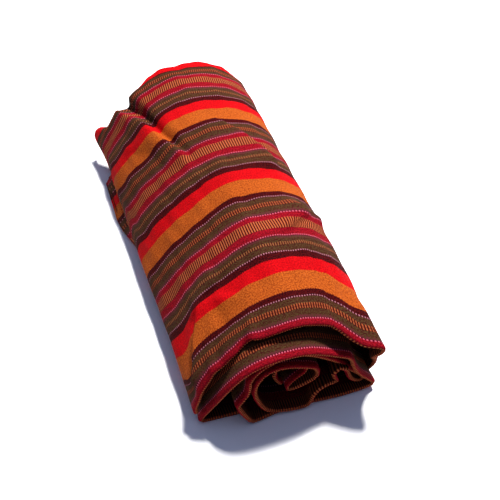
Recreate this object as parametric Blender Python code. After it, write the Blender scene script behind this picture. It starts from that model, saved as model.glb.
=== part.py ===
"""Striped shoulder blanket, folded in three along its length and rolled up loosely.

The roll lies along Y on a flat bottom at Z = 0, with the end that shows its turns at -Y. Its wound form is one
solid. The last stretch of the wrap, a loose end that lies on the left flank and lifts at its far corner, is a thin
sheet of its own. Units are metres, +Z is up, and the origin is the middle of the bounding box on the floor.
"""

import math

import bpy
import numpy as np
from mathutils import Matrix

COLLECTION = "maasai_shuka_blanket"

# Points round a section, sections along the side, and rings in from the rim of each end
AROUND = 52
ALONG = 38
CAP_RINGS = 17
LIP_ROWS = 4
FINE_STEPS = 120

# The outline's lower half is bowed like the upper, and reaches FLAT_SINK below the floor, which cuts a flat there
FLAT_SINK = 0.004
BOTTOM_BOW_LEFT = 3.4
BOTTOM_BOW_RIGHT = 3.2
LIP_RADIUS = 0.009

# Sizes of the two ends, which lean out at the bottom and show the turns as a spiral trough
NEAR_LEAN = 0.030
FAR_LEAN = 0.006
LEAN_REACH = 0.12
NEAR_SLIDE = 0.022
TURNS_SHOWN = 2.6
TURN_TROUGH = 0.013
TROUGH_SHARPNESS = 2.0
SLIDE_GROWTH = 2.2
RIM_CLEAR = 0.16
MIDDLE_CLEAR = 0.12

# The line that the roll is wound round, and how far up the flanks the creases begin, as shares of the crown's height
CORE_X = 0.012
CORE_HEIGHT_SHARE = 0.40
CREASE_START = 0.3

# The loose end is three plies thick. Its edges are at points of the outline, counted from under the crown.
CLOTH_STACK = 0.0030
LAYER_GAP = 0.0006
FLANK_FOOT = 9
STEP_POINTS = 2.0
LOOSE_EDGE = 12
LOOSE_TOP = 20
LOOSE_OVERHANG = -0.004
EAR_LENGTH = 0.080
EAR_LIFT = 0.009
EAR_REACH = 0.0125

# One row for each measured cross-section, from the near end to the far end. left, crown and right are the widest
# and highest points of the outline, and each bow is how full it is between them: 2 is an ellipse, 1 is straight.
SECTION_COLUMNS = ("y", "left", "left_z", "left_bow", "crown_x", "crown_z", "right", "right_z", "right_bow")
SECTIONS = (
    (-0.2150, -0.094, 0.026, 1.62, 0.026, 0.116, 0.123, 0.040, 1.75),
    (-0.1750, -0.096, 0.028, 1.50, 0.026, 0.125, 0.125, 0.048, 1.85),
    (-0.1100, -0.100, 0.030, 1.30, 0.020, 0.133, 0.122, 0.055, 2.00),
    (-0.0300, -0.107, 0.030, 1.25, 0.014, 0.136, 0.118, 0.060, 2.15),
    (0.0600, -0.113, 0.030, 1.36, 0.014, 0.137, 0.116, 0.060, 2.15),
    (0.1300, -0.117, 0.032, 1.55, 0.014, 0.138, 0.116, 0.060, 2.10),
    (0.2000, -0.121, 0.034, 1.50, 0.006, 0.141, 0.116, 0.058, 2.10),
    (0.2560, -0.124, 0.036, 1.45, -0.002, 0.139, 0.114, 0.056, 2.15),
)

# One row for each main crease: its two ends in plan, its half-width, and its height, where a trough is negative
FOLD_COLUMNS = ("x0", "y0", "x1", "y1", "half_width", "height")
FOLDS = {
    "tuck_trough": (-0.078, 0.255, -0.026, 0.088, 0.016, -0.010),
    "tuck_ridge": (-0.104, 0.255, -0.048, 0.080, 0.018, 0.005),
    "tuck_tail": (-0.026, 0.088, 0.010, 0.056, 0.013, -0.003),
    "crown_crease": (0.030, 0.110, 0.072, 0.030, 0.013, -0.003),
    "band_ridge": (0.012, -0.052, 0.080, -0.010, 0.013, 0.003),
    "band_trough": (0.018, -0.082, 0.092, -0.038, 0.013, -0.004),
    "near_ridge": (-0.050, -0.190, -0.016, -0.130, 0.013, 0.003),
    "near_trough": (-0.072, -0.190, -0.046, -0.150, 0.013, -0.003),
    "right_bulge": (0.108, -0.066, 0.104, -0.020, 0.018, 0.004),
}

OBJECT_COLOURS = {
    "blanket_roll": (0.42, 0.030, 0.035),
    "loose_end": (0.62, 0.20, 0.05),
}
CLOTH_ROUGHNESS = 0.9


def clear_scene():
    for item in list(bpy.data.objects):
        bpy.data.objects.remove(item, do_unlink=True)


def smooth(share):
    share = np.clip(share, 0.0, 1.0)
    return share * share * (3.0 - 2.0 * share)


def section_at(y):
    """The section's sizes at y, by a Catmull-Rom curve through the rows of SECTIONS."""
    rows = np.array(SECTIONS)
    stations = rows[:, 0]
    i = int(np.clip(np.searchsorted(stations, y) - 1, 0, len(rows) - 2))
    before, start, end, after = rows[max(i - 1, 0)], rows[i], rows[i + 1], rows[min(i + 2, len(rows) - 1)]
    t = float(np.clip((y - start[0]) / (end[0] - start[0]), 0.0, 1.0))
    values = 0.5 * (
        2 * start
        + (end - before) * t
        + (2 * before - 5 * start + 4 * end - after) * t ** 2
        + (3 * start - before - 3 * end + after) * t ** 3
    )
    return dict(zip(SECTION_COLUMNS, values))


def quarter(reach_x, reach_z, bow):
    """A quarter of a superellipse, from its side point to its top point, as offsets from its corner."""
    angle = np.linspace(0.0, math.pi / 2, FINE_STEPS)
    return reach_x * np.cos(angle) ** (2 / bow), reach_z * np.sin(angle) ** (2 / bow)


def evenly(points, count):
    """The closed outline's points again, count of them at equal steps of length."""
    closed = np.vstack([points, points[:1]])
    steps = np.hypot(*np.diff(closed, axis=0).T)
    length = np.concatenate([[0.0], np.cumsum(steps)])
    wanted = np.linspace(0.0, length[-1], count, endpoint=False)
    return np.stack([np.interp(wanted, length, closed[:, axis]) for axis in (0, 1)], axis=1)


def outline(y):
    """The roll's cross-section at y as (x, z) points. It starts under the crown and goes round by the left flank."""
    s = section_at(y)
    left_reach, right_reach = s["crown_x"] - s["left"], s["right"] - s["crown_x"]
    left_x, left_up = quarter(left_reach, s["crown_z"] - s["left_z"], s["left_bow"])
    left_low_x, left_down = quarter(left_reach, s["left_z"] + FLAT_SINK, BOTTOM_BOW_LEFT)
    right_x, right_up = quarter(right_reach, s["crown_z"] - s["right_z"], s["right_bow"])
    right_low_x, right_down = quarter(right_reach, s["right_z"] + FLAT_SINK, BOTTOM_BOW_RIGHT)
    x = np.concatenate([
        s["crown_x"] - left_low_x[::-1],
        s["crown_x"] - left_x[1:],
        s["crown_x"] + right_x[::-1][1:],
        s["crown_x"] + right_low_x[1:-1],
    ])
    z = np.concatenate([
        s["left_z"] - left_down[::-1],
        s["left_z"] + left_up[1:],
        s["right_z"] + right_up[::-1][1:],
        s["right_z"] - right_down[1:-1],
    ])
    return evenly(np.stack([x, np.maximum(z, 0.0)], axis=1), AROUND)


def core_of(y):
    return np.array([CORE_X, section_at(y)["crown_z"] * CORE_HEIGHT_SHARE])


def outward(points, y):
    """Unit vectors away from the roll's core, at outline points of the section at y."""
    away = points - core_of(y)
    return away / np.linalg.norm(away, axis=1, keepdims=True)


def fold_height(x, y):
    """How far the creases of FOLDS move the upper surface in or out at a point in plan."""
    total = np.zeros_like(x)
    for values in FOLDS.values():
        fold = dict(zip(FOLD_COLUMNS, values))
        run_x, run_y = fold["x1"] - fold["x0"], fold["y1"] - fold["y0"]
        along = ((x - fold["x0"]) * run_x + (y - fold["y0"]) * run_y) / (run_x ** 2 + run_y ** 2)
        nearest = np.clip(along, 0.0, 1.0)
        away = np.hypot(x - fold["x0"] - run_x * nearest, y - fold["y0"] - run_y * nearest)
        total += fold["height"] * np.exp(-((away / fold["half_width"]) ** 2))
    return total


def creased(y):
    """The wrap's outer surface at station y: the outline, with the creases of FOLDS on its upper part."""
    points = outline(y)
    upper = smooth((points[:, 1] / points[:, 1].max() - CREASE_START) / CREASE_START)
    moved = points + outward(points, y) * (fold_height(points[:, 0], y) * upper)[:, None]
    moved[:, 1] = np.where(points[:, 1] <= 0.0, 0.0, np.maximum(moved[:, 1], 0.0))
    return moved


def side_points(y):
    """The roll's own surface at station y, set in where the loose end lies on it and below that."""
    points = creased(y)
    index = np.arange(AROUND)
    covered = smooth((index - FLANK_FOOT) / STEP_POINTS) * smooth((LOOSE_TOP + 3 - index) / STEP_POINTS)
    inset = (CLOTH_STACK + LAYER_GAP) * covered * (points[:, 1] > 0.0)
    return points - outward(points, y) * inset[:, None]


def leaned(y, z, crown):
    """The ends lean: low on the roll the inner turns have slid out past the crown."""
    low = 1.0 - np.clip(z / crown, 0.0, 1.0)
    near_share = smooth((SECTIONS[0][0] + LEAN_REACH - y) / LEAN_REACH)
    far_share = smooth((y - SECTIONS[-1][0] + LEAN_REACH) / LEAN_REACH)
    return y - NEAR_LEAN * low * near_share - FAR_LEAN * low * far_share


def slid_out(share, z, crown):
    """How far an end's inner turns stand out past its rim, most of all below the middle."""
    return NEAR_SLIDE * smooth((1.0 - share) * SLIDE_GROWTH) * (1.0 - np.clip(z / crown, 0.0, 1.0))


def trough_depth(share, around):
    """The depth of the spiral trough between the turns, at a share of the radius and a share of the way round."""
    phase = TURNS_SHOWN * share - around
    wave = 0.5 + 0.5 * np.cos(2 * math.pi * phase)
    fade = smooth((1.0 - share) / RIM_CLEAR) * smooth(share / MIDDLE_CLEAR)
    return TURN_TROUGH * wave ** TROUGH_SHARPNESS * fade


def end_ring(y_end, inward, share):
    """One ring of an end's face: the last outline drawn in to a share of its radius, with the trough let in."""
    core = core_of(y_end)
    ring = core + (side_points(y_end) - core) * share
    around = np.arange(AROUND) / AROUND
    y = leaned(np.full(AROUND, y_end), ring[:, 1], section_at(y_end)["crown_z"])
    y = y + inward * trough_depth(np.full(AROUND, share), around)
    if inward > 0:
        y = y - slid_out(share, ring[:, 1], section_at(y_end)["crown_z"])
    return np.stack([ring[:, 0], y, ring[:, 1]], axis=1)


def side_ring(y, share):
    """One ring of the side at station y, drawn in to a share of its radius where the lips round over."""
    points = side_points(y)
    core = core_of(y)
    drawn = core + (points - core) * share
    drawn[:, 1] = np.where(points[:, 1] <= 0.0, 0.0, drawn[:, 1])
    spread = leaned(np.full(AROUND, y), drawn[:, 1], section_at(y)["crown_z"])
    return np.stack([drawn[:, 0], spread, drawn[:, 1]], axis=1)


def side_stations():
    return np.linspace(SECTIONS[0][0] + LIP_RADIUS, SECTIONS[-1][0] - LIP_RADIUS, ALONG)


def loose_stations():
    """The side's own stations, so that the sheet's facets lie along the roll's, and two more to its far edge."""
    shared = list(side_stations())
    far_y = SECTIONS[-1][0] + LOOSE_OVERHANG
    return shared + list(np.linspace(shared[-1], far_y, 3)[1:])


def roll_rings():
    """All the roll's rings, from the near face's middle, over the near lip, along the side, to the far middle."""
    near_y, far_y = SECTIONS[0][0], SECTIONS[-1][0]
    radius = section_at(near_y)["crown_z"] * (1.0 - CORE_HEIGHT_SHARE)
    shares = np.linspace(0.0, 1.0 - LIP_RADIUS / radius, CAP_RINGS + 1)[1:]
    rings = [end_ring(near_y, 1.0, share) for share in shares]
    turn = np.linspace(0.0, math.pi / 2, LIP_ROWS + 2)[1:-1]
    lip = [(1.0 - math.cos(a)) * LIP_RADIUS for a in turn]
    drawn_in = [1.0 - (1.0 - math.sin(a)) * LIP_RADIUS / radius for a in turn]
    for step, share in zip(lip, drawn_in):
        rings.append(side_ring(near_y + step, share))
    rings += [side_ring(y, 1.0) for y in side_stations()]
    for step, share in zip(lip[::-1], drawn_in[::-1]):
        rings.append(side_ring(far_y - step, share))
    rings += [end_ring(far_y, -1.0, share) for share in shares[::-1]]
    return rings


def split(a, b, c, d):
    """A four-cornered facet as two triangles. Both solids split theirs the same way, so that they stay parallel."""
    return [(a, b, c), (a, c, d)]


def mesh_object(name, vertices, faces):
    mesh = bpy.data.meshes.new(name)
    mesh.from_pydata([tuple(map(float, v)) for v in vertices], [], faces)
    mesh.validate()
    mesh.shade_smooth()
    item = bpy.data.objects.new(name, mesh)
    item.data.materials.append(cloth_material(name))
    return item


def cloth_material(name):
    material = bpy.data.materials.new(name + "_cloth")
    material.use_nodes = True
    shader = material.node_tree.nodes["Principled BSDF"]
    shader.inputs["Base Color"].default_value = (*OBJECT_COLOURS[name], 1.0)
    shader.inputs["Roughness"].default_value = CLOTH_ROUGHNESS
    shader.inputs["Metallic"].default_value = 0.0
    return material


def make_roll():
    """The wound form: rings of equal count joined in order, closed by a fan at the middle of each end."""
    rings = roll_rings()
    vertices = np.vstack(rings)
    near_middle, far_middle = len(vertices), len(vertices) + 1
    middles = [rings[0].mean(axis=0), rings[-1].mean(axis=0)]
    faces = []
    for row in range(len(rings) - 1):
        for k in range(AROUND):
            here, there = row * AROUND + k, row * AROUND + (k + 1) % AROUND
            faces += split(here, there, there + AROUND, here + AROUND)
    last = (len(rings) - 1) * AROUND
    for k in range(AROUND):
        after = (k + 1) % AROUND
        faces.append((near_middle, after, k))
        faces.append((far_middle, last + k, last + after))
    return mesh_object("blanket_roll", np.vstack([vertices, middles]), faces)


def loose_skin(depth):
    """One skin of the loose end, depth metres in from the wrap's outer surface."""
    columns = np.arange(LOOSE_EDGE, LOOSE_TOP + 1)
    low = np.linspace(1.0, 0.0, len(columns))
    stations = loose_stations()
    skin = []
    for y in stations:
        line = creased(y)[columns]
        ear = smooth((y - stations[-1] + EAR_LENGTH) / EAR_LENGTH)
        lift = EAR_LIFT * (ear * low) ** 1.5 - depth
        lifted = line + outward(line, y) * lift[:, None]
        spread = leaned(np.full(len(line), y), line[:, 1], section_at(y)["crown_z"])
        spread += EAR_REACH * (ear * low) ** 3
        skin.append(np.stack([lifted[:, 0], spread, lifted[:, 1]], axis=1))
    return np.array(skin)


def make_loose_end():
    """The last of the wrap: an outer and an inner skin, joined round their edges."""
    outer, inner = loose_skin(0.0), loose_skin(CLOTH_STACK)
    stations, columns = outer.shape[:2]
    vertices = np.vstack([outer.reshape(-1, 3), inner.reshape(-1, 3)])
    other = stations * columns
    faces = []
    for i in range(stations - 1):
        for k in range(columns - 1):
            a = i * columns + k
            b, c, d = a + 1, a + columns + 1, a + columns
            faces += split(a, b, c, d)
            faces += [face[::-1] for face in split(other + a, other + b, other + c, other + d)]
    near = list(range(columns))
    low = [i * columns + columns - 1 for i in range(stations)]
    far = [(stations - 1) * columns + k for k in reversed(range(columns))]
    top = [i * columns for i in reversed(range(stations))]
    rim = near + low[1:] + far[1:] + top[1:-1]
    for here, there in zip(rim, rim[1:] + rim[:1]):
        faces.append((there, here, other + here, other + there))
    return mesh_object("loose_end", vertices, faces)


def centre_on_floor(items):
    """Moves the meshes so that the middle of their common box, on the floor, is the origin."""
    corners = np.array([vertex.co for item in items for vertex in item.data.vertices])
    middle = (corners.min(axis=0) + corners.max(axis=0)) / 2
    for item in items:
        item.data.transform(Matrix.Translation((-middle[0], -middle[1], 0.0)))


def main():
    clear_scene()
    collection = bpy.data.collections.new(COLLECTION)
    bpy.context.scene.collection.children.link(collection)
    items = (make_roll(), make_loose_end())
    centre_on_floor(items)
    for item in items:
        collection.objects.link(item)


main()
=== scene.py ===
"""Looks for the rolled shoulder blanket: its folded and wound cloth, and the floor, light and camera."""

import math

import bpy
import numpy as np
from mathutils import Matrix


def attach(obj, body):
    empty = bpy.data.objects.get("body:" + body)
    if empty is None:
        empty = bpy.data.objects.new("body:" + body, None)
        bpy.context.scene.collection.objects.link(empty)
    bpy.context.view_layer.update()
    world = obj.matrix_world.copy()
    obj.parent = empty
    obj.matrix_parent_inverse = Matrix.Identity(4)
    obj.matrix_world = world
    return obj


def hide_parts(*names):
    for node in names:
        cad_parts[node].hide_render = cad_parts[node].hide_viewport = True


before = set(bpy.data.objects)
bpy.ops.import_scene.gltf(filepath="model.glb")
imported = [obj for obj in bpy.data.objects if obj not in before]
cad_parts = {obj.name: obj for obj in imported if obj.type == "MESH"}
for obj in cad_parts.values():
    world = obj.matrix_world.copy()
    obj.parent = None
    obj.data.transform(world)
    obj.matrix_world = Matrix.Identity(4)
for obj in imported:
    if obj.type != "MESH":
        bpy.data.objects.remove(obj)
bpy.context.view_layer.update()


# The rolled blanket
# One length of coarse plain-woven cloth, striped across, with selvages at its two long sides. It is folded
# in three along its length, and the strip of three plies is rolled up loosely from one short edge to the
# other. It lies on its side, held by its own weight, with the last short edge loose along its left flank.

# The outline of the roll, one row for each measured cross-section, from the near end to the far end. left,
# crown and right are the widest and highest points, and a bow is how full the outline is between them.
SECTION_COLUMNS = ("y", "left", "left_z", "left_bow", "crown_x", "crown_z", "right", "right_z", "right_bow")
SECTIONS = np.array([
    (-0.2150, -0.094, 0.026, 1.62, 0.026, 0.116, 0.123, 0.040, 1.75),
    (-0.1750, -0.096, 0.028, 1.50, 0.026, 0.125, 0.125, 0.048, 1.85),
    (-0.1100, -0.100, 0.030, 1.30, 0.020, 0.133, 0.122, 0.055, 2.00),
    (-0.0300, -0.107, 0.030, 1.25, 0.014, 0.136, 0.118, 0.060, 2.15),
    (0.0600, -0.113, 0.030, 1.36, 0.014, 0.137, 0.116, 0.060, 2.15),
    (0.1300, -0.117, 0.032, 1.55, 0.014, 0.138, 0.116, 0.060, 2.10),
    (0.2000, -0.121, 0.034, 1.50, 0.006, 0.141, 0.116, 0.058, 2.10),
    (0.2560, -0.124, 0.036, 1.45, -0.002, 0.139, 0.114, 0.056, 2.15),
])
# The roll sinks a little into its flat spot, between two full lower corners
FLAT_SINK = 0.004
BOTTOM_BOW_LEFT, BOTTOM_BOW_RIGHT = 3.4, 3.2
# Where the core of the winding lies
CORE_X = 0.012
CORE_HEIGHT_SHARE = 0.40
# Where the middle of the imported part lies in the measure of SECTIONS
MIDDLE = np.array((-0.00393, 0.00110, 0.0))

FINE_STEPS = 160
OUTLINE_POINTS = 520
OUTLINE_STATIONS = np.linspace(-0.235, 0.262, 100)


def smooth(share):
    share = np.clip(share, 0.0, 1.0)
    return share * share * (3.0 - 2.0 * share)


def curve_through(rows, where):
    """Catmull-Rom values between rows, where is counted in rows from the first."""
    rows = np.asarray(rows, float)
    where = np.clip(np.atleast_1d(np.asarray(where, float)), 0.0, len(rows) - 1.0)
    i = np.minimum(where.astype(int), len(rows) - 2)
    t = (where - i)[:, None]
    before, start, end = rows[np.maximum(i - 1, 0)], rows[i], rows[i + 1]
    after = rows[np.minimum(i + 2, len(rows) - 1)]
    return 0.5 * (
        2 * start
        + (end - before) * t
        + (2 * before - 5 * start + 4 * end - after) * t ** 2
        + (3 * start - before - 3 * end + after) * t ** 3
    )


def section_at(y):
    where = np.interp(y, SECTIONS[:, 0], np.arange(len(SECTIONS)))
    return dict(zip(SECTION_COLUMNS, curve_through(SECTIONS, where)[0]))


def quarter(reach_x, reach_z, bow):
    angle = np.linspace(0.0, math.pi / 2, FINE_STEPS)
    return reach_x * np.cos(angle) ** (2 / bow), reach_z * np.sin(angle) ** (2 / bow)


def outline(y):
    """The roll's outer surface at y as (x, z), closed, from under the crown round by the left flank."""
    s = section_at(y)
    left_reach, right_reach = s["crown_x"] - s["left"], s["right"] - s["crown_x"]
    left_x, left_up = quarter(left_reach, s["crown_z"] - s["left_z"], s["left_bow"])
    left_low_x, left_down = quarter(left_reach, s["left_z"] + FLAT_SINK, BOTTOM_BOW_LEFT)
    right_x, right_up = quarter(right_reach, s["crown_z"] - s["right_z"], s["right_bow"])
    right_low_x, right_down = quarter(right_reach, s["right_z"] + FLAT_SINK, BOTTOM_BOW_RIGHT)
    x = np.concatenate([-left_low_x[::-1], -left_x[1:], right_x[::-1][1:], right_low_x[1:]]) + s["crown_x"]
    z = np.concatenate([
        s["left_z"] - left_down[::-1],
        s["left_z"] + left_up[1:],
        s["right_z"] + right_up[::-1][1:],
        s["right_z"] - right_down[1:],
    ])
    points = np.stack([x, np.maximum(z, 0.0)], axis=1)
    length = np.concatenate([[0.0], np.cumsum(np.hypot(*np.diff(points, axis=0).T))])
    wanted = np.linspace(0.0, length[-1], OUTLINE_POINTS + 1)
    return np.stack([np.interp(wanted, length, points[:, axis]) for axis in (0, 1)], axis=1)


OUTLINES = np.array([outline(y) for y in OUTLINE_STATIONS])
CORES = np.array([(CORE_X, section_at(y)["crown_z"] * CORE_HEIGHT_SHARE) for y in OUTLINE_STATIONS])
CROWNS = np.array([section_at(y)["crown_z"] for y in OUTLINE_STATIONS])


# Keeps a place on the last line of a grid inside its last cell
INSIDE = 1.001


def from_grid(grid, row, column):
    """Values between the grid's points, at row and column counted in grid steps."""
    row = np.clip(row, 0, grid.shape[0] - INSIDE)
    column = np.clip(column, 0, grid.shape[1] - INSIDE)
    i, k = row.astype(int), column.astype(int)
    a, b = (row - i)[..., None], (column - k)[..., None]
    low = grid[i, k] * (1 - b) + grid[i, k + 1] * b
    high = grid[i + 1, k] * (1 - b) + grid[i + 1, k + 1] * b
    return low * (1 - a) + high * a


def station_row(y):
    return np.interp(y, OUTLINE_STATIONS, np.arange(len(OUTLINE_STATIONS)))


# The strip wound inwards from under the crown, as bends of its outer surface at the near end. Each is, in
# millimetres, its place across and up, the place along the roll that the strip's lip has slid out to there,
# and how far inside the outline the strip must keep away from the lips.
BEND_COLUMNS = ("x", "z", "lip_y", "inset")
TURNS = {
    "under, to the left corner": (
        (26, 0, -238, 0), (0, 0, -237, 0), (-30, 0, -236, 0), (-68, 0, -233, 0), (-89, 2, -231, 2),
        (-87, 15, -232, 5), (-71, 43, -235, 5), (-56, 67, -236, 5), (-38, 86, -235, 5),
    ),
    "over the core to the right corner": (
        (-16, 96, -234, 5), (10, 98, -234, 5), (36, 94, -235, 5), (69, 76, -237, 5), (83, 67, -239, 5),
        (88, 51, -242, 5), (96, 35, -246, 5), (109, 19, -249, 5), (116, 8, -249, 5), (109, 2, -249, 5),
    ),
    "back under it": (
        (84, 1, -250, 5), (54, 1, -250, 5), (28, 2, -245, 5), (0, 2, -244, 5), (-20, 2, -248, 7),
        (-34, 2, -259, 9),
    ),
    "up in a hanging flap": (
        (-41, 14, -254, 9), (-51, 39, -245, 10), (-45, 45, -238, 10), (-37, 54, -239, 10),
        (-35, 69, -237, 10), (-25, 80, -234, 10), (-10, 86, -228, 10),
    ),
    "over again and down the right": (
        (12, 87, -226, 10), (36, 81, -228, 10), (72, 54, -232, 10), (88, 34, -234, 10),
        (100, 22, -239, 10), (106, 12, -244, 10), (98, 5, -245, 11),
    ),
    "back in waves": (
        (83, 19, -242, 15), (77, 39, -236, 15), (70, 46, -234, 15), (66, 39, -236, 15),
        (68, 31, -239, 15), (73, 24, -241, 15), (63, 24, -243, 15), (51, 27, -245, 11),
        (42, 21, -248, 10),
    ),
    "round the hollow curl": (
        (35, 4, -251, 10), (21, 3, -259, 10), (9, 4, -252, 10), (-6, 5, -248, 10), (-19, 12, -242, 14),
        (-29, 36, -241, 15), (-30, 53, -239, 15), (-24, 67, -237, 15), (-14, 74, -233, 15),
        (-2, 75, -230, 15), (15, 69, -228, 15), (32, 61, -228, 15), (44, 56, -231, 15),
    ),
    "into the curl": (
        (50, 45, -235, 15), (46, 35, -238, 15), (30, 29, -239, 15), (16, 24, -240, 15),
        (8, 27, -240, 15), (12, 36, -237, 15), (24, 41, -233, 15), (35, 43, -227, 15),
        (38, 46, -221, 15), (31, 50, -218, 15), (16, 53, -218, 15), (5, 49, -219, 15),
        (4, 36, -221, 15), (11, 23, -224, 15),
    ),
}
BENDS = np.array([bend for turn in TURNS.values() for bend in turn]) / 1000
BEND_SOFTNESS = 0.0020
PATH_STEP = 0.0005
ROUGH_STEPS = 4000

# The far folds and the near lips lie at these two places along the roll, before they lean or slide. A way is
# a place round the roll: 0 and 1 are under the crown, and it grows past 1 on the inner turns.
ST_FAR, ST_LIP = 0.2575, -0.2128
LOOSE_EDGE_WAY = 12 / 52


def softened(values, reach):
    """The values, evened out along the path over about reach steps, with the two ends kept."""
    half = int(3 * reach)
    weights = np.exp(-0.5 * (np.arange(-half, half + 1) / reach) ** 2)
    weights /= weights.sum()
    first, last = values[:1], values[-1:]
    padded = np.vstack([2 * first - values[half:0:-1], values, 2 * last - values[-2:-half - 2:-1]])
    return np.stack([np.convolve(padded[:, c], weights, "valid") for c in range(values.shape[1])], axis=1)


rough = curve_through(BENDS, np.linspace(0, len(BENDS) - 1, ROUGH_STEPS))
rough_length = np.concatenate([[0.0], np.cumsum(np.hypot(*np.diff(rough[:, :2], axis=0).T))])
even = np.arange(0.0, rough_length[-1], PATH_STEP)
path = np.stack([np.interp(even, rough_length, rough[:, c]) for c in range(len(BEND_COLUMNS))], axis=1)
path = softened(path, BEND_SOFTNESS / PATH_STEP)
path[:, 1] = np.maximum(path[:, 1], 0.0)
path_length = np.concatenate([[0.0], np.cumsum(np.hypot(*np.diff(path[:, :2], axis=0).T))])

near_row = int(round(station_row(SECTIONS[0, 0])))
near_core = CORES[near_row]
near_round = np.hypot(*np.diff(OUTLINES[near_row], axis=0).T).sum()
mid_round = np.hypot(*np.diff(outline(0.0), axis=0).T).sum()

# The columns of the sheet, closest together over the tuck on the left shoulder
OUTER_STEP, TUCK_STEP, BACK_STEP, INNER_STEP = 0.0042, 0.0021, 0.0065, 0.0085
TUCK_FROM, TUCK_TO, BACK_FROM = 0.325, 0.480, 0.72
LEAST_STEP = 0.4
STRETCHES = (
    (LOOSE_EDGE_WAY, TUCK_FROM, OUTER_STEP),
    (TUCK_FROM, TUCK_TO, TUCK_STEP),
    (TUCK_TO, BACK_FROM, OUTER_STEP),
    (BACK_FROM, 1.0, BACK_STEP),
)
outer_way = np.concatenate([
    np.arange(start, stop - LEAST_STEP * step / mid_round, step / mid_round)
    for start, stop, step in STRETCHES
])
outer_count = len(outer_way)
inner_run = np.linspace(0.0, path_length[-1], int(path_length[-1] / INNER_STEP))
way = np.concatenate([outer_way, 1.0 + inner_run / near_round])
inner_x, inner_z, inner_lip, inner_inset = (
    np.interp(inner_run, path_length, path[:, c]) for c in range(len(BEND_COLUMNS))
)
COLUMNS = len(way)

# The inner bends, each by its direction from the core and its share of the reach out to the outline
DIRECTIONS = np.linspace(-math.pi, math.pi, 721)


def reach_by_direction(points, core):
    away = points[:-1] - core
    angle = np.arctan2(away[:, 1], away[:, 0])
    order = np.argsort(angle)
    return np.interp(DIRECTIONS, angle[order], np.hypot(*away[order].T), period=2 * math.pi)


REACHES = np.array([reach_by_direction(points, core) for points, core in zip(OUTLINES, CORES)])
inner_away = np.stack([inner_x, inner_z], axis=1) - near_core
inner_angle = np.arctan2(inner_away[:, 1], inner_away[:, 0])
near_reach = np.interp(inner_angle, DIRECTIONS, REACHES[near_row])
inner_share = np.hypot(*inner_away.T) / near_reach

# The place along the roll of the outer turn's near lip, round the way
LIP_WAY = (
    0.20, 0.30, 0.36, 0.42, 0.54, 0.60, 0.62, 0.636, 0.65, 0.664, 0.678,
    0.692, 0.706, 0.72, 0.75, 0.82, 1.00,
)
LIP_Y = (
    -0.2300, -0.2230, -0.2165, -0.2120, -0.2120, -0.2130, -0.2195, -0.2280, -0.2375, -0.2450, -0.2530,
    -0.2590, -0.2570, -0.2480, -0.2320, -0.2320, -0.2380,
)
# Where the outer turn's far edge begins to curl over, round the way, and how tightly it does
CURL_WAY = (
    0.20, 0.245, 0.259, 0.273, 0.287, 0.316, 0.345, 0.358, 0.372, 0.384, 0.396, 0.410, 0.424, 0.438,
    0.465, 0.50, 0.53, 0.572, 0.60, 0.63, 0.66, 0.72, 1.00,
)
CURL_Y = (
    0.254, 0.250, 0.244, 0.236, 0.227, 0.2270, 0.2310, 0.237, 0.237, 0.235, 0.236, 0.238, 0.243, 0.2475,
    0.2480, 0.2470, 0.2510, 0.252, 0.249, 0.251, 0.246, 0.240, 0.250,
)
CURL_ROUND = 0.0095
CURL_MOST = 2.3
LIP_SOFTNESS = 3.0
INNER_FROM, INNER_OVER = 1.10, 0.30
# The far edge is drawn in a little away from the crown, and the lean of the near end reaches further on
# the inner turns than on the outer one
FAR_SET_IN = 0.006
CROWN_WAY, CROWN_REACH = 0.54, 0.46
LEAN_OUTER, LEAN_MORE_INSIDE = 0.12, 0.30
outer_lip = np.interp(outer_way, LIP_WAY, LIP_Y)
lip_y = softened(np.concatenate([outer_lip, inner_lip])[:, None], LIP_SOFTNESS)[:, 0]
inner_part = smooth((way - INNER_FROM) / INNER_OVER)
set_in = FAR_SET_IN * (1 - inner_part) * smooth(np.abs(way - CROWN_WAY) / CROWN_REACH)
far_y = ST_FAR - set_in + (lip_y - ST_LIP) * inner_part
lean_reach = LEAN_OUTER + LEAN_MORE_INSIDE * inner_part

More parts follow.
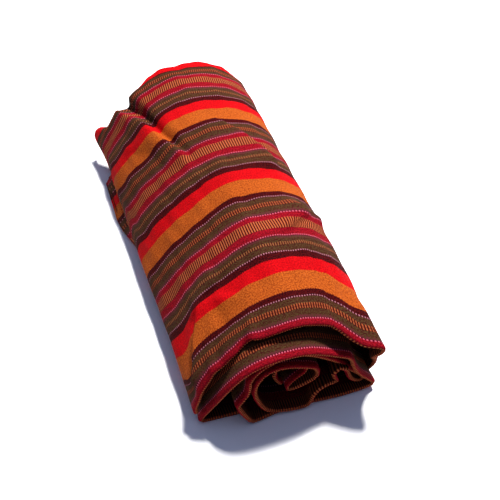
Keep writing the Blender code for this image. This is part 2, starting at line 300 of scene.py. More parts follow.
# The creases of the outer turn, each along a line from a by b to c, in way round and distance along. left
# and right are how far it fades off on the two hands of someone who walks from a to c. rise is its height at
# a and at c, where a trough is negative, and pull drags the crest towards the right hand, as a share of it.
CREASE_COLUMNS = (
    "way_a", "y_a", "way_b", "y_b", "way_c", "y_c", "left", "right", "rise_a", "rise_c", "pull",
)
CREASES = {
    "tuck_valley": (0.462, 0.068, 0.418, 0.163, 0.346, 0.256, 0.006, 0.011, -0.004, -0.009, 0.0),
    "lobe_ridge": (0.452, 0.072, 0.399, 0.159, 0.322, 0.244, 0.017, 0.006, 0.006, 0.006, 0.70),
    "dome_edge": (0.474, 0.076, 0.431, 0.166, 0.366, 0.262, 0.007, 0.020, 0.001, 0.005, 0.0),
    "tuck_end": (0.456, 0.058, 0.459, 0.074, 0.456, 0.088, 0.009, 0.010, 0.003, 0.003, 0.0),
    "lobe_fold": (0.345, 0.150, 0.372, 0.138, 0.398, 0.118, 0.014, 0.006, 0.002, 0.001, 0.0),
    "pleat_step": (0.634, 0.028, 0.590, 0.082, 0.546, 0.118, 0.026, 0.0035, 0.007, 0.002, 0.45),
    "step_crease": (0.350, -0.130, 0.436, -0.110, 0.506, -0.098, 0.014, 0.0055, 0.003, 0.0015, 1.0),
    "band_crease": (0.512, -0.098, 0.580, -0.089, 0.628, -0.067, 0.014, 0.0055, 0.0015, 0.0045, 0.9),
    "band_fold": (0.622, -0.056, 0.650, -0.060, 0.690, -0.064, 0.004, 0.012, 0.001, 0.005, 0.0),
    "notch": (0.545, -0.114, 0.565, -0.120, 0.580, -0.128, 0.004, 0.006, -0.002, -0.001, 0.0),
    "fine_crease": (0.614, -0.205, 0.613, -0.160, 0.615, -0.120, 0.002, 0.004, -0.0014, -0.0010, 0.0),
    "flank_step": (0.303, -0.196, 0.325, -0.164, 0.352, -0.142, 0.004, 0.022, 0.008, 0.003, -0.4),
    "flank_fold": (0.336, -0.133, 0.390, -0.139, 0.432, -0.151, 0.004, 0.010, 0.003, 0.002, 0.3),
    "kink_ridge": (0.448, -0.206, 0.458, -0.180, 0.456, -0.152, 0.006, 0.007, 0.003, 0.001, 0.0),
    "kink_left": (0.350, -0.205, 0.360, -0.185, 0.372, -0.166, 0.006, 0.008, 0.003, 0.001, 0.0),
    "right_tuck": (0.752, -0.140, 0.748, -0.185, 0.742, -0.228, 0.024, 0.020, -0.001, -0.010, 0.0),
    "right_corner": (0.690, -0.160, 0.688, -0.190, 0.690, -0.226, 0.013, 0.013, 0.001, 0.017, 0.0),
}
CREASE_END = 0.009
CREASE_POINTS = 13
# Further than any place on the roll
FAR_OFF = 9.0
# Broad swells and hollows, and stretches where the cloth has slid along the roll
SWELL_COLUMNS = ("way", "y", "reach_round", "reach_along", "rise", "slide", "shear")
SWELLS = {
    "lobe_hollow": (0.365, 0.122, 0.020, 0.036, -0.002, 0.0, 0.0),
    "lobe_side": (0.255, 0.140, 0.020, 0.050, 0.003, 0.009, 0.0),
    "lobe_lower": (0.320, 0.120, 0.024, 0.060, 0.0, 0.004, 0.0),
    "lobe_far": (0.350, 0.215, 0.026, 0.030, 0.0, -0.006, 0.0),
    "far_dip": (0.515, 0.240, 0.020, 0.020, -0.002, -0.002, 0.0),
    "far_rise": (0.590, 0.250, 0.020, 0.022, 0.001, 0.002, 0.0),
    "middle_left": (0.246, 0.055, 0.014, 0.060, 0.0, 0.014, 0.0),
    "middle_flank": (0.330, 0.045, 0.040, 0.050, 0.001, 0.004, 0.0),
    "middle_swell": (0.420, 0.045, 0.024, 0.030, 0.003, 0.001, 0.0),
    "crown_hollow": (0.525, 0.045, 0.014, 0.045, -0.001, 0.0, 0.0),
    "crown_dip": (0.525, -0.052, 0.014, 0.020, -0.003, 0.0, 0.0),
    "band_swell": (0.615, -0.060, 0.024, 0.026, 0.005, 0.0, 0.0),
    "band_twist": (0.636, -0.080, 0.016, 0.014, 0.0, 0.0, 0.9),
    "left_hollow": (0.290, -0.115, 0.020, 0.034, -0.002, -0.004, 0.0),
    "left_swell": (0.380, -0.110, 0.020, 0.034, 0.002, 0.002, 0.0),
    "flank_slip": (0.278, -0.170, 0.022, 0.026, -0.002, -0.013, 0.0),
    "near_swell": (0.420, -0.200, 0.036, 0.016, 0.003, 0.002, 0.0),
    "near_right": (0.672, -0.165, 0.022, 0.030, 0.0, -0.002, 0.0),
    "near_kink": (0.432, -0.212, 0.012, 0.010, 0.0, 0.005, 0.0),
}


def reach_over(at_way, at_y, way_at, y_at, reach_round, reach_along):
    away = ((at_way - way_at) * mid_round / reach_round) ** 2 + ((at_y - y_at) / reach_along) ** 2
    return np.exp(-away)


def crease_moves(at_way, at_y):
    """How far creases and swells move places on the outer turn outwards, aside and along the roll."""
    out, aside, slide = np.zeros_like(at_way), np.zeros_like(at_way), np.zeros_like(at_way)
    for values in CREASES.values():
        c = dict(zip(CREASE_COLUMNS, values))
        knots = np.array([
            (c["way_a"] * mid_round, c["y_a"]),
            (c["way_b"] * mid_round, c["y_b"]),
            (c["way_c"] * mid_round, c["y_c"]),
        ])
        line = curve_through(knots, np.linspace(0, 2, CREASE_POINTS))
        best = np.full(at_way.shape, FAR_OFF)
        side, beyond, along, heading_x = (np.zeros_like(best) for _ in range(4))
        for n, (start, end) in enumerate(zip(line[:-1], line[1:])):
            run = (end - start) / np.hypot(*(end - start))
            length = np.hypot(*(end - start))
            from_x, from_y = at_way * mid_round - start[0], at_y - start[1]
            ahead = from_x * run[0] + from_y * run[1]
            held = np.clip(ahead, 0.0, length)
            away = np.hypot(from_x - run[0] * held, from_y - run[1] * held)
            nearer = away < best
            best = np.where(nearer, away, best)
            side = np.where(nearer, run[0] * from_y - run[1] * from_x, side)
            beyond = np.where(nearer, np.abs(ahead - held), beyond)
            along = np.where(nearer, (n + held / length) / (len(line) - 1), along)
            heading_x = np.where(nearer, run[0], heading_x)
        fade = np.where(side > 0, c["left"], c["right"])
        height = c["rise_a"] + (c["rise_c"] - c["rise_a"]) * along
        profile = np.exp(-((side / fade) ** 2) - (beyond / CREASE_END) ** 2)
        across_line = np.sqrt(1.0 - heading_x ** 2)
        out += height * profile
        aside += c["pull"] * height * profile * across_line
        slide -= c["pull"] * height * profile * heading_x
    for values in SWELLS.values():
        c = dict(zip(SWELL_COLUMNS, values))
        share = reach_over(at_way, at_y, c["way"], c["y"], c["reach_round"], c["reach_along"])
        out += c["rise"] * share
        slide += c["slide"] * share
        aside += c["shear"] * share * (at_y - c["y"])
    return out, aside, slide


# The plies. Each lies a little further in than the last, and they part at the ends, where the cloth turns
# back.
PLY_PITCH = 0.0015
PLY_SAG, SAG_FROM, SAG_OVER = 0.0028, 0.008, 0.030
CLOTH_THICKNESS = 0.0011
LIP_ROUND = 0.0024
LIP_REACH = 0.030
SELVAGE_SET_BACK = 0.022
FAR_FOLD_SET_BACK = 0.003
FAR_ROUND = 0.0018

# Where known stripes lie along the roll, against the distance across the cloth from its far selvage
ACROSS = np.array((0.0, 0.1442, 0.2880, 0.4318, 0.4768))
ALONG = np.array((ST_FAR, 0.1118, -0.0335, -0.1743, ST_LIP))
# The outer ply has three stretches of rows, and the two inner plies have fewer
NEAR_END, FAR_START = -0.12, 0.06
NEAR_ROWS, MIDDLE_ROWS, FAR_ROWS = 30, 42, 56
INNER_NEAR_END, INNER_FAR_START = -0.15, 0.20
SECOND_ROWS, THIRD_ROWS = (11, 10, 7), (6, 10, 6)
LIP_STEPS, FAR_STEPS = 8, 6


def rows_of_sheet():
    """The rows across the cloth, each with its place along the roll and the width of cloth up to it."""
    near = np.linspace(ST_LIP + LIP_ROUND, NEAR_END, NEAR_ROWS, endpoint=False)
    middle = np.linspace(NEAR_END, FAR_START, MIDDLE_ROWS, endpoint=False)
    far = np.linspace(FAR_START, ST_FAR, FAR_ROWS)
    first = np.concatenate([near, middle, far])[::-1]
    rows = [(y, 0.0, 0.0, 0.0, 0.0, np.interp(y, ALONG[::-1], ACROSS[::-1])) for y in first]
    across = rows[-1][-1]
    for turn in np.linspace(0, math.pi, LIP_STEPS)[1:-1]:
        bulge = 0.5 * (1 - math.cos(turn))
        rows.append((ST_LIP + LIP_ROUND, 0.0, bulge, math.sin(turn), 0.0, across + LIP_ROUND * turn))
    across += LIP_ROUND * math.pi
    far_fold = ST_FAR - FAR_FOLD_SET_BACK - FAR_ROUND
    second = np.concatenate([
        np.linspace(ST_LIP + LIP_ROUND, INNER_NEAR_END, SECOND_ROWS[0], endpoint=False),
        np.linspace(INNER_NEAR_END, INNER_FAR_START, SECOND_ROWS[1], endpoint=False),
        np.linspace(INNER_FAR_START, far_fold, SECOND_ROWS[2]),
    ])
    for y in second:
        rows.append((y, 1.0, 1.0, 0.0, 0.0, across + y - second[0]))
    across += far_fold - second[0]
    for turn in np.linspace(0, math.pi, FAR_STEPS)[1:-1]:
        bulge = 0.5 * (1 - math.cos(turn))
        rows.append((far_fold, 1.0, 1.0, -math.sin(turn), bulge, across + FAR_ROUND * turn))
    across += FAR_ROUND * math.pi
    third = np.concatenate([
        np.linspace(far_fold, INNER_FAR_START, THIRD_ROWS[0], endpoint=False),
        np.linspace(INNER_FAR_START, INNER_NEAR_END, THIRD_ROWS[1], endpoint=False),
        np.linspace(INNER_NEAR_END, ST_LIP + SELVAGE_SET_BACK, THIRD_ROWS[2]),
    ])
    for y in third:
        rows.append((y, 2.0, 1.0, 0.0, 1.0, across + far_fold - y))
    return np.array(rows), len(first)


# A row has its station, which is its place along the roll, the number of plies over it, its share of the
# near fold's bulge, how far it stands out past an end, its share of the far fold's bulge, and its distance
# across the cloth
sheet_rows, first_rows = rows_of_sheet()
st, plies, lip_bulge, end_out, far_bulge, across = sheet_rows.T
ROWS = len(st)


# Away from the lips the inner turns lie further in, most of all under the tuck on the left shoulder
FLARE_REACH = 0.034
DEEP_INSET, DEEP_FROM, DEEP_OVER = 0.004, 0.030, 0.070
TUCK_INSET = 0.014
TUCK_ANGLE, TUCK_SPREAD = 2.35, 0.75
TUCK_START, TUCK_OVER = 0.02, 0.06
LEAST_INSET = 0.004
BY_CORE_FROM, BY_CORE_OVER = 1.10, 0.07
# At the left corner the turn under the loose edge is pinched out on the floor, towards the far end
PINCH_WAY, PINCH_WIDTH = 1.222, 0.015
PINCH_OUT = 0.026
PINCH_RISE, PINCH_END, PINCH_FALL = 0.12, 0.195, 0.020


def surface_at(stations):
    """The strip's outer surface in cross-section at the stations: (stations, columns, x and z)."""
    row = station_row(stations)[:, None] + np.zeros(COLUMNS)
    turn_way = np.where(way <= 1.0, way, way - 1.0)[None, :] + np.zeros(row.shape)
    by_outline = from_grid(OUTLINES, row, turn_way * OUTLINE_POINTS)
    angle = np.concatenate([np.zeros(outer_count), inner_angle])[None, :] + np.zeros(row.shape)
    share = np.concatenate([np.ones(outer_count), inner_share])[None, :]
    direction = (angle + math.pi) / (2 * math.pi) * (len(DIRECTIONS) - 1)
    reach = from_grid(REACHES[..., None], row, direction)[..., 0]
    at_lip = 1.0 - smooth((stations[:, None] - ST_LIP) / FLARE_REACH)
    inset = np.concatenate([np.zeros(outer_count), inner_inset])[None, :]
    deeper = DEEP_INSET * smooth((stations[:, None] - ST_LIP - DEEP_FROM) / DEEP_OVER)
    tuck_round = np.exp(-(((angle - TUCK_ANGLE) / TUCK_SPREAD) ** 2))
    tucked = TUCK_INSET * (tuck_round * smooth((stations[:, None] - TUCK_START) / TUCK_OVER))
    wide = share * reach
    kept_in = np.minimum(wide, reach - inset - (deeper + tucked) * (inset > LEAST_INSET))
    kept_in = kept_in * (1.0 - at_lip) + wide * at_lip
    pinched = smooth(stations / PINCH_RISE) * (1.0 - smooth((stations - PINCH_END) / PINCH_FALL))
    kept_in += PINCH_OUT * pinched[:, None] * np.exp(-(((way - PINCH_WAY) / PINCH_WIDTH) ** 2))
    core = np.stack([np.interp(stations, OUTLINE_STATIONS, CORES[:, c]) for c in (0, 1)], axis=1)
    by_core = core[:, None, :] + kept_in[..., None] * np.stack([np.cos(angle), np.sin(angle)], axis=-1)
    by_share = smooth((way - BY_CORE_FROM) / BY_CORE_OVER)[None, :, None]
    return by_outline * (1 - by_share) + by_core * by_share


# No length is divided by less than this
TINY = 1e-9


def inwards(points):
    """Unit vectors into the roll at the points of cross-sections, columns in order along the strip."""
    run = np.gradient(points, axis=1)
    run /= np.maximum(np.linalg.norm(run, axis=2, keepdims=True), TINY)
    return np.stack([run[..., 1], -run[..., 0]], axis=-1)


section_points = surface_at(st)
inward = inwards(section_points)
crown = np.interp(st, OUTLINE_STATIONS, CROWNS)[:, None]

# The creases fade out on the inner turns and low on the flanks
OUTER_END, OUTER_FADE = 0.80, 0.12
LOW_SHARE, LOW_FADE = 0.12, 0.2
outer_part = 1.0 - smooth((way - OUTER_END) / OUTER_FADE)
upper = smooth((section_points[..., 1] / crown - LOW_SHARE) / LOW_FADE) * outer_part
every_way, every_st = np.broadcast_to(way, upper.shape), np.broadcast_to(st[:, None], upper.shape)
out, aside, slide = crease_moves(every_way, every_st)
# A slight, uneven ripple over all of it: a wave round the roll and along it, its start and its size
RIPPLES = ((0.031, 0.085, 0.3, 0.0003), (0.047, -0.050, 1.9, 0.0005), (0.019, 0.130, 4.0, 0.0002))
SLIDE_WAVE = 2.3
for round_wave, along_wave, start, size in RIPPLES:
    waves = way[None, :] * mid_round / round_wave + st[:, None] / along_wave
    slide_turn = 2 * math.pi * way[None, :] * mid_round / (SLIDE_WAVE * round_wave)
    out = out + size * np.sin(2 * math.pi * waves + start)
    slide = slide + size * np.cos(slide_turn + start)
onwards = np.stack([-inward[..., 1], inward[..., 0]], axis=-1)
section_points += (-inward * out[..., None] + onwards * aside[..., None]) * upper[..., None]

# The loose edge stands off a little, and lifts and reaches out at its far corner
EAR_LENGTH = 0.080
EAR_LIFT, EAR_LIFT_POWER = 0.007, 1.5
EAR_REACH, EAR_REACH_POWER = 0.0040, 3
LOOSE_WIDTH = 8 / 52
LOOSE_POWER = 6
loose_low = np.clip(1.0 - (way - LOOSE_EDGE_WAY) / LOOSE_WIDTH, 0.0, 1.0)
ear = smooth((st - ST_FAR + EAR_LENGTH) / EAR_LENGTH)[:, None] * loose_low
section_points += -inward * (EAR_LIFT * ear ** EAR_LIFT_POWER)[..., None]

# Room inside each bend for the plies, so that tight bends hold flatter lips
LEAST_TURNING = 1e-3
TIGHT_ROOM, ROOM_OVER, LEAST_FULLNESS = 0.002, 0.010, 0.25
FULLNESS_SOFTNESS = 2.0
inward = inwards(section_points)
mid_row = int(np.argmin(np.abs(st[:first_rows] - ST_LIP)))
bend_points = section_points[mid_row]
bend_run = np.gradient(bend_points, axis=0)
heading = np.unwrap(np.arctan2(bend_run[:, 1], bend_run[:, 0]))
turning = -np.gradient(heading) / np.maximum(np.linalg.norm(bend_run, axis=1), TINY)
room = np.where(turning > LEAST_TURNING, 1.0 / np.maximum(turning, LEAST_TURNING), 1.0)
fullness = np.clip((room - TIGHT_ROOM) / ROOM_OVER, LEAST_FULLNESS, 1.0)
fullness = softened(fullness[:, None], FULLNESS_SOFTNESS)[:, 0]

# The inner plies keep well in under the tuck on the left shoulder
UNDER_WAY, UNDER_SPREAD = 0.410, 0.050
UNDER_START, UNDER_OVER = 0.05, 0.05
UNDER_END, UNDER_FALL = 0.004, 0.020
under_tuck = (
    np.exp(-(((way[None, :] - UNDER_WAY) / UNDER_SPREAD) ** 2))
    * smooth((st[:, None] - UNDER_START) / UNDER_OVER)
    * smooth((ST_FAR - UNDER_END - st[:, None]) / UNDER_FALL)
    * (way < 1.0)
)
near_share = 1.0 - smooth((st - ST_LIP) / LIP_REACH)
far_share = smooth((st - ST_FAR + LIP_REACH) / LIP_REACH)
lip_round = LIP_ROUND * fullness[None, :]
lip_opening = np.maximum(2 * lip_round - PLY_PITCH, 0.0)
sag = np.where(plies > 0, PLY_SAG * smooth((st - ST_LIP - SAG_FROM) / SAG_OVER), 0.0)
# How far in from the outer surface the middle of each ply lies
depth = (
    CLOTH_THICKNESS / 2
    + (PLY_PITCH * plies + sag)[:, None]
    + np.where(plies > 0, 1.0, 0.0)[:, None] * TUCK_INSET * under_tuck
    + lip_opening * (lip_bulge * near_share)[:, None]
    + (PLY_PITCH * (lip_bulge * (plies == 0))[:, None])
    + (2 * FAR_ROUND - PLY_PITCH) * (far_bulge * far_share)[:, None]
    + (PLY_PITCH * (far_bulge * (plies == 1))[:, None])
)
# The far edge of the outer turn curls over, except at the loose edge
curl_part = 1.0 - loose_low[None, :] ** LOOSE_POWER
curl_from = np.interp(way, CURL_WAY, CURL_Y) + FAR_OFF * (way >= 1.0)
curl = np.clip((st[:, None] - curl_from[None, :]) / CURL_ROUND, 0.0, CURL_MOST) * curl_part
bent = (CURL_ROUND - depth) * np.cos(curl) - CURL_ROUND
section_points = section_points - inward * bent[..., None]

# The near end leans and its turns have slid, and the folds stand out past it
blend = 1.0 - smooth((st[:, None] - ST_LIP) / lean_reach[None, :])
y = st[:, None] + (lip_y - ST_LIP)[None, :] * blend + (far_y - ST_FAR)[None, :] * (1.0 - blend)
y = y + slide * upper - np.where(end_out > 0, end_out, 0.0)[:, None] * lip_round
y = y - np.where(end_out < 0, end_out, 0.0)[:, None] * FAR_ROUND
y = y + EAR_REACH * ear ** EAR_REACH_POWER
straight = np.minimum(CURL_MOST * CURL_ROUND, np.maximum(st[:, None] - curl_from[None, :], 0.0))
y = y - straight * curl_part + (CURL_ROUND - depth) * np.sin(curl)

vertices = np.stack([section_points[..., 0], y, section_points[..., 1]], axis=-1)
vertices[..., 2] = np.maximum(vertices[..., 2], CLOTH_THICKNESS / 2)
vertices -= MIDDLE

column_run = np.concatenate([
    (outer_way - LOOSE_EDGE_WAY) * mid_round,
    (1.0 - LOOSE_EDGE_WAY) * mid_round + inner_run,
])

# The mesh is a grid. On the inner turns it keeps only every second row of the outer ply near the lips and
# every third one further on, but all rows run on a little way past the crown.
LIP_ROWS = 22
EVERY_NEAR, EVERY_FAR = 2, 3
FULL_RUN = 0.03
keep_inner = np.zeros(ROWS, bool)
keep_inner[:first_rows - LIP_ROWS:EVERY_FAR] = True
keep_inner[first_rows - LIP_ROWS:first_rows:EVERY_NEAR] = True
keep_inner[first_rows - 1:] = True
INNER_START = outer_count + int(FULL_RUN / INNER_STEP)
index = np.full((ROWS, COLUMNS), -1)
index[:, :INNER_START] = np.arange(ROWS * INNER_START).reshape(ROWS, INNER_START)
kept = np.flatnonzero(keep_inner)
index[np.ix_(kept, np.arange(INNER_START, COLUMNS))] = (
    ROWS * INNER_START + np.arange(len(kept) * (COLUMNS - INNER_START)).reshape(len(kept), -1)
)
places = np.zeros((index.max() + 1, 3))
weave_map = np.zeros((index.max() + 1, 2))
used = index >= 0
places[index[used]] = vertices[used]
weave_map[index[used]] = np.stack(np.broadcast_arrays(column_run[None, :], across[:, None]), axis=-1)[used]
faces = []
for k in range(COLUMNS - 1):
    if k + 1 < INNER_START:
        for r in range(ROWS - 1):
            faces.append((index[r, k], index[r, k + 1], index[r + 1, k + 1], index[r + 1, k]))
    else:
        for r, after in zip(kept[:-1], kept[1:]):
            here = [index[q, k] for q in range(after, r - 1, -1) if index[q, k] >= 0]
            faces.append((index[r, k + 1], index[after, k + 1], *here))
faces = [tuple(int(v) for v in face) for face in faces]

cloth_mesh = bpy.data.meshes.new("blanket")
cloth_mesh.from_pydata(places.tolist(), [], faces)
cloth_mesh.update()
layer = cloth_mesh.uv_layers.new(name="weave")
corner = np.empty(len(cloth_mesh.loops), int)
cloth_mesh.loops.foreach_get("vertex_index", corner)
layer.data.foreach_set("uv", weave_map[corner].ravel())
cloth_mesh.shade_smooth()
blanket = bpy.data.objects.new("blanket", cloth_mesh)
bpy.context.scene.collection.objects.link(blanket)
thick = blanket.modifiers.new("cloth thickness", "SOLIDIFY")
thick.thickness = CLOTH_THICKNESS
thick.offset = 0.0
thick.use_even_offset = False


def dye(red, green, blue):
    """A yarn's colour from the 0 to 255 of a shade card, as the shader's own measure."""
    card = np.array((red, green, blue)) / 255
    line = np.where(card <= 0.04045, card / 12.92, ((card + 0.055) / 1.055) ** 2.4)
    return (*(float(c) for c in line), 1.0)


RED = dye(188, 7, 14)
RED_DARK = dye(160, 3, 12)
ORANGE = dye(173, 82, 25)
ORANGE_DARK = dye(138, 56, 15)
MAROON = dye(72, 9, 10)
MAROON_DARK = dye(34, 2, 6)
BROWN = dye(68, 50, 27)
BROWN_RED = dye(60, 14, 15)
CRIMSON = dye(138, 12, 26)
CRIMSON_DARK = dye(98, 4, 16)
TICK = dye(164, 84, 48)
TICK_DULL = dye(128, 78, 44)
TICK_GROUND = dye(52, 8, 8)
TICK_SMALL = dye(146, 72, 40)
WIDE_GROUND = dye(72, 5, 10)
DOT = dye(158, 98, 110)
DOT_PINK = dye(186, 82, 98)
DOT_GROUND = dye(48, 4, 12)
PINK_GROUND = dye(104, 8, 32)
WINE = dye(84, 26, 38)
WINE_DARK = dye(44, 6, 18)

# The stripe chart: one repeat from the edge of the orange, with each band's width in units and its yarns.
# The fleck is the second yarn that shows between the picks, and the figure is the yarn of the ticks. pick is
# 0 for a plain band, 1 for a band of ticks, and 2 for one whose ticks stand half a step off from those.
UNIT = 0.001108
REPEAT = 129.8 * UNIT
FIRST_EDGE = 0.1442
CHART_COLUMNS = ("width", "ground", "fleck", "figure", "pick")
PICK = CHART_COLUMNS.index("pick")
CHART = (
    (6.8, MAROON, MAROON_DARK, MAROON, 0),
    (1.6, DOT_GROUND, DOT_GROUND, DOT, 1),
    (7.4, BROWN, BROWN_RED, BROWN, 0),
    (0.4, BROWN_RED, TICK_GROUND, TICK, 0),
    (2.9, TICK_GROUND, TICK_GROUND, TICK_SMALL, 1),
    (0.5, BROWN_RED, TICK_GROUND, TICK, 0),
    (2.3, TICK_GROUND, TICK_GROUND, TICK_SMALL, 1),
    (0.4, BROWN_RED, TICK_GROUND, TICK, 0),
    (6.8, BROWN, BROWN_RED, BROWN, 0),
    (2.6, WINE, BROWN, WINE, 0),
    (0.8, WINE, WINE, WINE_DARK, 2),
    (1.6, PINK_GROUND, PINK_GROUND, DOT_PINK, 1),
    (6.5, CRIMSON, CRIMSON_DARK, CRIMSON, 0),
    (12.9, WIDE_GROUND, TICK_GROUND, TICK, 1),
    (8.4, CRIMSON, CRIMSON_DARK, CRIMSON, 0),
    (1.6, PINK_GROUND, PINK_GROUND, DOT_PINK, 1),
    (0.8, WINE, WINE, WINE_DARK, 2),
    (2.2, WINE, BROWN, WINE, 0),
    (4.9, BROWN, BROWN_RED, BROWN, 0),
    (3.5, BROWN_RED, BROWN_RED, TICK_DULL, 1),
    (7.4, BROWN, BROWN_RED, BROWN, 0),
    (1.6, DOT_GROUND, DOT_GROUND, DOT, 1),
    (7.4, MAROON, MAROON_DARK, MAROON, 0),
    (16.2, RED, RED_DARK, RED, 0),
    (22.3, ORANGE, ORANGE_DARK, ORANGE, 0),
)
BORDER = (
    (14.5, RED, RED_DARK, RED, 0),
    (1.8, MAROON, MAROON_DARK, MAROON, 0),
    (5.0, BROWN, BROWN_RED, BROWN, 0),
    (0.4, BROWN_RED, TICK_GROUND, TICK, 0),
    (2.9, TICK_GROUND, TICK_GROUND, TICK_SMALL, 1),
    (0.5, BROWN_RED, TICK_GROUND, TICK, 0),
    (2.3, TICK_GROUND, TICK_GROUND, TICK_SMALL, 1),
    (0.4, BROWN_RED, TICK_GROUND, TICK, 0),
    (5.0, BROWN, BROWN_RED, BROWN, 0),
)
BORDER_WIDTH = sum(band[0] for band in BORDER) * UNIT
TICK_STEP, TICK_SHARE = 0.0030, 0.46
# The bands' edges step in and out by this much from tick to tick
TOOTH = 0.0006
# Added whole repeats, so that the phase is never negative
WHOLE_REPEATS = 8.0


class Yarn:
    """One output in the cloth's shader. Sums on it add their own nodes."""

    def __init__(self, tree, output=None):
        self.tree = tree
        self.output = output

    def node(self, kind, settings, sockets, output=0):
        made = self.tree.nodes.new(kind)
        for name, value in settings.items():
            if name == "stops":
                ramp = made.color_ramp
                while len(ramp.elements) < len(value):
                    ramp.elements.new(1.0)
                for element, (place, colour) in zip(ramp.elements, value):
                    element.position = place
                    element.color = colour
            elif name == "interpolation":
                made.color_ramp.interpolation = value
            else:
                setattr(made, name, value)
        for name, value in sockets.items():
            if isinstance(value, Yarn):
                self.tree.links.new(value.output, made.inputs[name])
            else:
                made.inputs[name].default_value = value
        return Yarn(self.tree, made.outputs[output])

    def sum(self, operation, first, second=0.0):
        return self.node("ShaderNodeMath", {"operation": operation}, {0: first, 1: second})

    def __add__(self, other):
        return self.sum("ADD", self, other)

    __radd__ = __add__

    def __sub__(self, other):
        return self.sum("SUBTRACT", self, other)

    def __rsub__(self, other):
        return self.sum("SUBTRACT", other, self)

    def __mul__(self, other):
        return self.sum("MULTIPLY", self, other)

    __rmul__ = __mul__

    def __truediv__(self, other):
        return self.sum("DIVIDE", self, other)

    def __rtruediv__(self, other):
        return self.sum("DIVIDE", other, self)

    def __lt__(self, other):
        return self.sum("LESS_THAN", self, other)

    def __gt__(self, other):
        return self.sum("GREATER_THAN", self, other)

    def part(self):
        return self.sum("FRACT", self)

    def sine(self):
        return self.sum("SINE", self)

    def second(self):
        """The next output of the same node."""
        return Yarn(self.tree, self.output.node.outputs[1])

    def remapped(self, low, high, to_low, to_high):
        return self.node("ShaderNodeMapRange", {}, {0: self, 1: low, 2: high, 3: to_low, 4: to_high})


def mixed(share, first, second, how="MIX"):
    """Two colours through a Mix node. share is a number or a Yarn."""
    maker = share if isinstance(share, Yarn) else first if isinstance(first, Yarn) else second
    settings = {"data_type": "RGBA", "blend_type": how}
    return maker.node("ShaderNodeMix", settings, {0: share, 6: first, 7: second}, 2)


def stops_of(chart, column):
    total = sum(band[0] for band in chart)
    start, stops = 0.0, []
    for band in chart:
        value = band[column]
        if column == PICK:
            value = (1.0 if value else 0.0, 1.0 if value == 2 else 0.0, 0.0, 1.0)
        stops.append((start / total, value))
        start += band[0]
    return stops


cloth = bpy.data.materials.new("striped_cloth")
cloth.use_nodes = True
tree = cloth.node_tree
shader = tree.nodes["Principled BSDF"]
wool = Yarn(tree)
place = wool.node("ShaderNodeUVMap", {"uv_map": "weave"}, {})
# run is the distance round the roll and over the one across the cloth
run = wool.node("ShaderNodeSeparateXYZ", {}, {0: place})
over = run.second()
step = (run / TICK_STEP).part()
tooth = (step < 0.5) * TOOTH
charted = over + tooth - TOOTH / 2
phase = ((charted - FIRST_EDGE) / REPEAT + WHOLE_REPEATS).part()
border_share = charted / BORDER_WIDTH


def read_chart(chart, share, column):
    settings = {"interpolation": "CONSTANT", "stops": stops_of(chart, column)}
    return wool.node("ShaderNodeValToRGB", settings, {0: share})


in_border = border_share < 1.0
grounds, flecks, figures, picks = (
    mixed(in_border, read_chart(CHART, phase, column), read_chart(BORDER, border_share, column))
    for column in range(1, len(CHART_COLUMNS))
)
ticked = wool.node("ShaderNodeSeparateColor", {}, {0: picks})
bar = ((run / TICK_STEP + ticked.second() * 0.5).part() < TICK_SHARE) * ticked
yarn_space = wool.node("ShaderNodeCombineXYZ", {}, {0: run, 1: over, 2: 0.0})


def noise(scale, detail, roughness):
    sockets = {"Vector": yarn_space, "Scale": scale, "Detail": detail, "Roughness": roughness}
    return wool.node("ShaderNodeTexNoise", {}, sockets)


# Specks of the second yarn between the picks, and broad patches a little lighter or darker. The plies
# inside the folds get painted shade: they are darkened to stand in for the shadow inside the roll.
PAST_LIP, INNER_PAINTED_SHADE = 0.004, 0.76
mottle = noise(600.0, 2.0, 0.6)
flecked = mottle.remapped(0.42, 0.60, 0.0, 1.0)
stripes = mixed(bar, mixed(flecked, grounds, flecks), figures)
broad = noise(14.0, 3.0, 0.55)
speck = mottle.remapped(0.35, 0.65, 1.12, 0.82)
worn = broad.remapped(0.3, 0.7, 0.90, 1.07)
# Painted shade: the plies past the near fold are darkened as though they lay in shadow
shaded_inner_ply = over > ACROSS[-1] + PAST_LIP
shade = speck * worn * (1.0 - shaded_inner_ply * INNER_PAINTED_SHADE)
grey = wool.node("ShaderNodeCombineColor", {}, {0: shade, 1: shade, 2: shade})
colour = mixed(1.0, stripes, grey, "MULTIPLY")
tree.links.new(colour.output, shader.inputs["Base Color"])

# The ribs of the plain weave, the fuzz of its yarns and the puckers of the cloth, each by its share
WARP_STEP, WEFT_STEP = 0.0015, 0.0013
ribs = (run * (2 * math.pi / WARP_STEP)).sine() * (over * (2 * math.pi / WEFT_STEP)).sine()
RIBS, FUZZ, PUCKERS = 0.25, 0.5, 4.0
BUMP_STRENGTH, BUMP_DISTANCE = 0.55, 0.0006
fuzz = noise(900.0, 2.0, 0.7)
puckers = noise(45.0, 3.0, 0.5)
height = ribs * RIBS + fuzz * FUZZ + puckers * PUCKERS
bump_sockets = {"Strength": BUMP_STRENGTH, "Distance": BUMP_DISTANCE, "Height": height}
bump = wool.node("ShaderNodeBump", {}, bump_sockets)
tree.links.new(bump.output, shader.inputs["Normal"])
WOOL_ROUGHNESS, WOOL_SPECULAR = 0.88, 0.04
shader.inputs["Roughness"].default_value = WOOL_ROUGHNESS
shader.inputs["Specular IOR Level"].default_value = WOOL_SPECULAR
cloth_mesh.materials.append(cloth)

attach(blanket, "root")
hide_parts("blanket_roll", "loose_end")


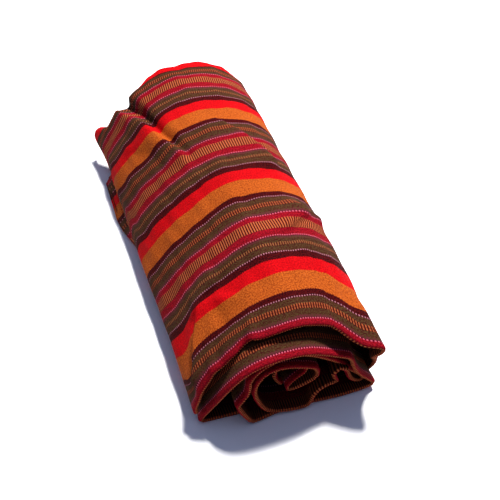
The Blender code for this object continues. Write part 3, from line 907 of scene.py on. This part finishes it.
# The floor
# A plain pale studio floor, one flat face of smooth matte paint on which the roll rests. It is wide enough
# to run out of the view on every side.
FLOOR_HALF = 6.0
FLOOR_COLOUR = (0.93, 0.93, 0.94, 1.0)
FLOOR_ROUGHNESS = 0.9
floor_mesh = bpy.data.meshes.new("floor")
floor_corners = [(x * FLOOR_HALF, y * FLOOR_HALF, 0) for x, y in ((-1, -1), (1, -1), (1, 1), (-1, 1))]
floor_mesh.from_pydata(floor_corners, [], [(0, 1, 2, 3)])
floor = bpy.data.objects.new("floor", floor_mesh)
bpy.context.scene.collection.objects.link(floor)
paint = bpy.data.materials.new("floor_paint")
paint.use_nodes = True
paint_shader = paint.node_tree.nodes["Principled BSDF"]
paint_shader.inputs["Base Color"].default_value = FLOOR_COLOUR
paint_shader.inputs["Roughness"].default_value = FLOOR_ROUGHNESS
floor_mesh.materials.append(paint)


# The light
# One soft lamp high up and far off, behind the roll on the right, and a wide weak bluish one over it. An
# even bluish sky lights the rest.
KEY_FROM = np.array((0.93, 1.08, 2.72))
KEY_SIZE, KEY_POWER = 0.34, 212.0
KEY_COLOUR = (1.0, 0.98, 0.95)
FILL_FROM = (0.0, 0.1, 1.9)
FILL_SIZE, FILL_POWER = 2.4, 13.0
FILL_COLOUR = (0.56, 0.66, 1.0)
SKY_COLOUR = (0.52, 0.60, 1.0, 1.0)
SKY_STRENGTH = 0.075


def lamp(name, size, power, tint, at):
    lamp_data = bpy.data.lights.new(name, "AREA")
    lamp_data.size = size
    lamp_data.energy = power
    lamp_data.color = tint
    hung = bpy.data.objects.new(name, lamp_data)
    hung.location = at
    bpy.context.scene.collection.objects.link(hung)
    return hung


key = lamp("key", KEY_SIZE, KEY_POWER, KEY_COLOUR, KEY_FROM)
key_tilt = math.atan2(math.hypot(KEY_FROM[0], KEY_FROM[1]), KEY_FROM[2])
key.rotation_euler = (key_tilt, 0.0, math.atan2(KEY_FROM[0], -KEY_FROM[1]))
lamp("fill", FILL_SIZE, FILL_POWER, FILL_COLOUR, FILL_FROM)
world = bpy.data.worlds.new("studio")
world.use_nodes = True
sky = world.node_tree.nodes["Background"]
sky.inputs["Color"].default_value = SKY_COLOUR
sky.inputs["Strength"].default_value = SKY_STRENGTH
bpy.context.scene.world = world
bpy.context.scene.view_settings.view_transform = "Standard"
bpy.context.scene.view_settings.look = "None"


# The camera
# It looks down at the near end from a little to the left. Its place and its lens were fitted to the
# outline of the roll.
CAMERA_AT = np.array((-0.11855, -0.50965, 0.62619))
CAMERA_TURN, CAMERA_HEIGHT = math.radians(-17.5), math.radians(50.0)
LENS, SENSOR_WIDTH, NEAREST = 42.5, 36.0, 0.01
camera_data = bpy.data.cameras.new("camera")
camera_data.lens = LENS
camera_data.sensor_width = SENSOR_WIDTH
camera_data.clip_start = NEAREST
camera = bpy.data.objects.new("camera", camera_data)
camera.location = CAMERA_AT - MIDDLE
camera.rotation_euler = (math.pi / 2 - CAMERA_HEIGHT, 0.0, CAMERA_TURN)
bpy.context.scene.collection.objects.link(camera)
bpy.context.scene.camera = camera
